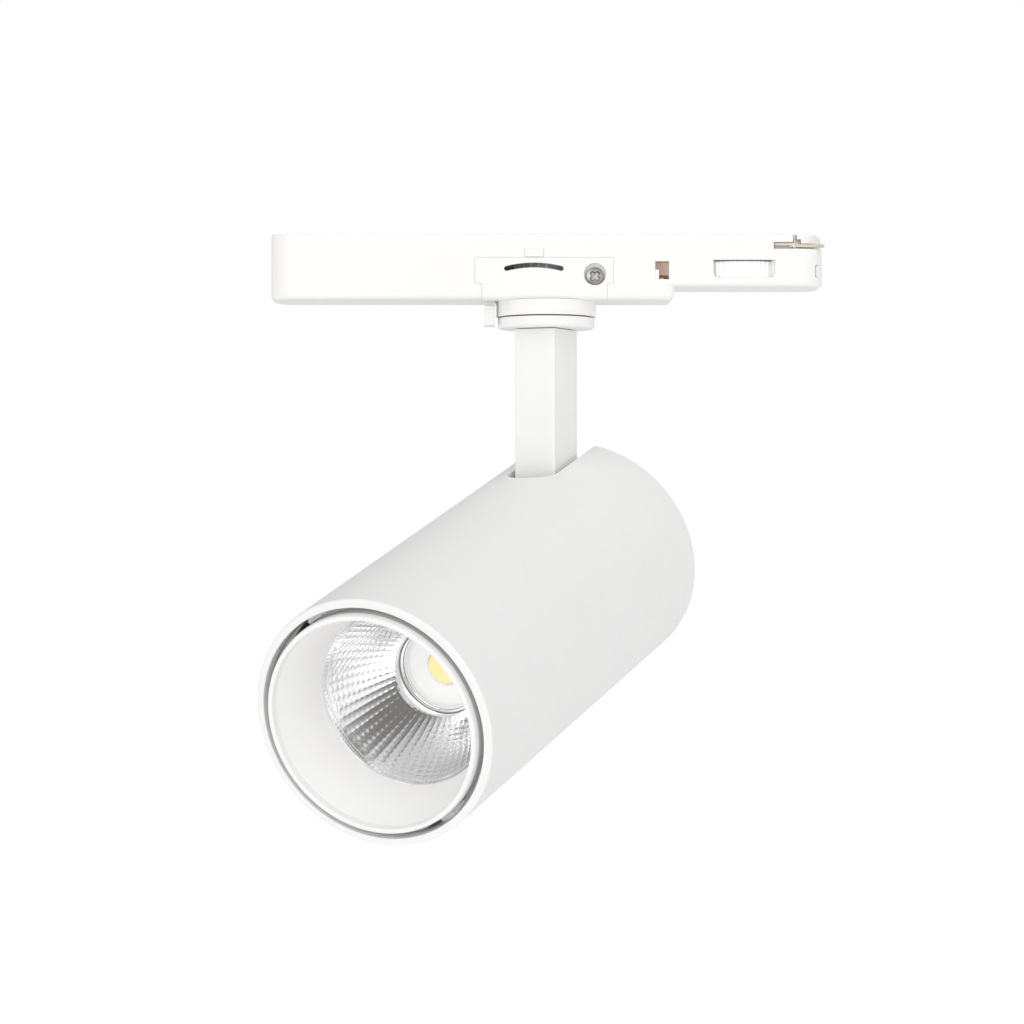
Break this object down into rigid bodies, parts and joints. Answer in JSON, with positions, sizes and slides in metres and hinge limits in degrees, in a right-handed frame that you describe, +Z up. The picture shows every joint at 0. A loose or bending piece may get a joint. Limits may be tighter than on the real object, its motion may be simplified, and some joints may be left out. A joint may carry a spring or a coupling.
{
  "type": "track spotlight",
  "caption": "Ceiling track spotlight with its driver in a slim track adapter, a panning stem and a tilting tube head with a recessed bowl reflector",
  "frame": {"origin": "on the swivel axis, 1.9 mm below the underside of the adapter's deep section", "axes": "+X along the track towards the contact end, +Z up, -Y towards the side with the selector wheel and tension screw"},
  "size_m": [0.2255, 0.2201, 0.2395],
  "materials": {
    "white_moulding": "satin",
    "white_catch": "matt",
    "white_powder": "matt powder coat",
    "baffle_white": "matt",
    "dark_moulding": "matt",
    "fibre_black": "matt",
    "steel": "plain",
    "zinc_steel": "zinc plated",
    "aluminium_bare": "cast",
    "copper_contact": "rolled",
    "mirror_bowl": "bright",
    "circuit_board": "solder mask",
    "ferrite": "matt",
    "winding_tape": "satin",
    "capacitor_sleeve": "satin",
    "film_box": "satin",
    "copper_wire": "enamelled",
    "ceramic_pad": "matt",
    "led_substrate": "satin",
    "phosphor": "soft",
    "cable_sheath": "matt"
  },
  "bodies": {
    "adapter": {"adapter_housing": "white_moulding", "adapter_cover": "white_moulding", "cover_screws": "zinc_steel", "swivel_block": "white_moulding", "block_screws": "zinc_steel", "clamp_band": "dark_moulding", "driver_board": "circuit_board", "board_screws": "zinc_steel", "transformer_core": "ferrite", "transformer_winding": "winding_tape", "electrolytic_capacitors": "capacitor_sleeve", "film_capacitors": "film_box", "inductor": "copper_wire", "power_transistor": "dark_moulding", "terminal_block": "white_catch", "earth_contact": "copper_contact", "neutral_contact": "copper_contact", "supply_leads": "cable_sheath", "selector_pin": "zinc_steel", "blade_pin": "copper_contact", "latch_spring": "steel"},
    "swivel": {"swivel_ring": "white_moulding", "swivel_hub": "zinc_steel", "friction_washer": "fibre_black", "scale_drum": "dark_moulding", "spring_washer": "steel", "swivel_nut": "zinc_steel", "stem": "white_powder", "stem_screws": "zinc_steel", "stem_cable": "cable_sheath"},
    "head": {"head_tube": "white_powder", "rear_cap": "white_powder", "cap_posts": "aluminium_bare", "cap_screws": "zinc_steel", "pivot_bracket": "zinc_steel", "bracket_screws": "zinc_steel", "pivot_bolt": "steel", "pivot_nut": "steel", "pivot_washers": "fibre_black", "heat_sink": "aluminium_bare", "thermal_pad": "ceramic_pad", "led_board": "led_substrate", "led_phosphor": "phosphor", "led_holder": "white_catch", "holder_screws": "zinc_steel", "led_leads": "cable_sheath", "reflector": "mirror_bowl", "baffle": "baffle_white", "baffle_clips": "steel"},
    "selector": {"selector_wheel": "white_moulding"},
    "phase_contact": {"phase_blade": "copper_contact"},
    "release": {"release_slider": "white_catch"},
    "front_latch": {"front_catch": "white_catch"},
    "rear_latch": {"rear_catch": "white_catch"},
    "pan_lock": {"tension_screw": "steel"}
  },
  "joints": [
    {"name": "pan", "type": "hinge", "parent": "adapter", "child": "swivel", "pos_m": [0, 0, 0], "axis": [0, 0, 1], "range_deg": [-145.2, 198.8]},
    {"name": "tilt", "type": "hinge", "parent": "swivel", "child": "head", "pos_m": [0, 0, -0.0834], "axis": [0.8926, -0.4509, 0], "range_deg": [-18.5, 71.5]},
    {"name": "selector_turn", "type": "hinge", "parent": "adapter", "child": "selector", "pos_m": [0.0799, 0.0104, 0.0142], "axis": [0, 0, 1], "range_deg": [-18, 18]},
    {"name": "blade_swing", "type": "hinge", "parent": "adapter", "child": "phase_contact", "pos_m": [0.1009, -0.0136, 0.0238], "axis": [0, 0, 1], "range_deg": [-9, 9]},
    {"name": "release_pull", "type": "slide", "parent": "adapter", "child": "release", "axis": [0, 0, -1], "range_m": [0, 0.0025], "stiffness_N_per_m": 150, "springref_m": -0.002, "deforming": ["latch_spring"]},
    {"name": "front_catch_in", "type": "slide", "parent": "adapter", "child": "front_latch", "axis": [0, 1, 0], "range_m": [0, 0.0015]},
    {"name": "rear_catch_in", "type": "slide", "parent": "adapter", "child": "rear_latch", "axis": [0, -1, 0], "range_m": [0, 0.0015]},
    {"name": "tension_turn", "type": "hinge", "parent": "adapter", "child": "pan_lock", "pos_m": [0.0195, 0, 0.01135], "axis": [0, -1, 0], "range_deg": [-90, 180]}
  ],
  "couplings": [
    {"joint": "blade_swing", "follows": "selector_turn", "ratio": 0.5},
    {"joint": "front_catch_in", "follows": "release_pull", "ratio": 0.6},
    {"joint": "rear_catch_in", "follows": "release_pull", "ratio": 0.6}
  ]
}
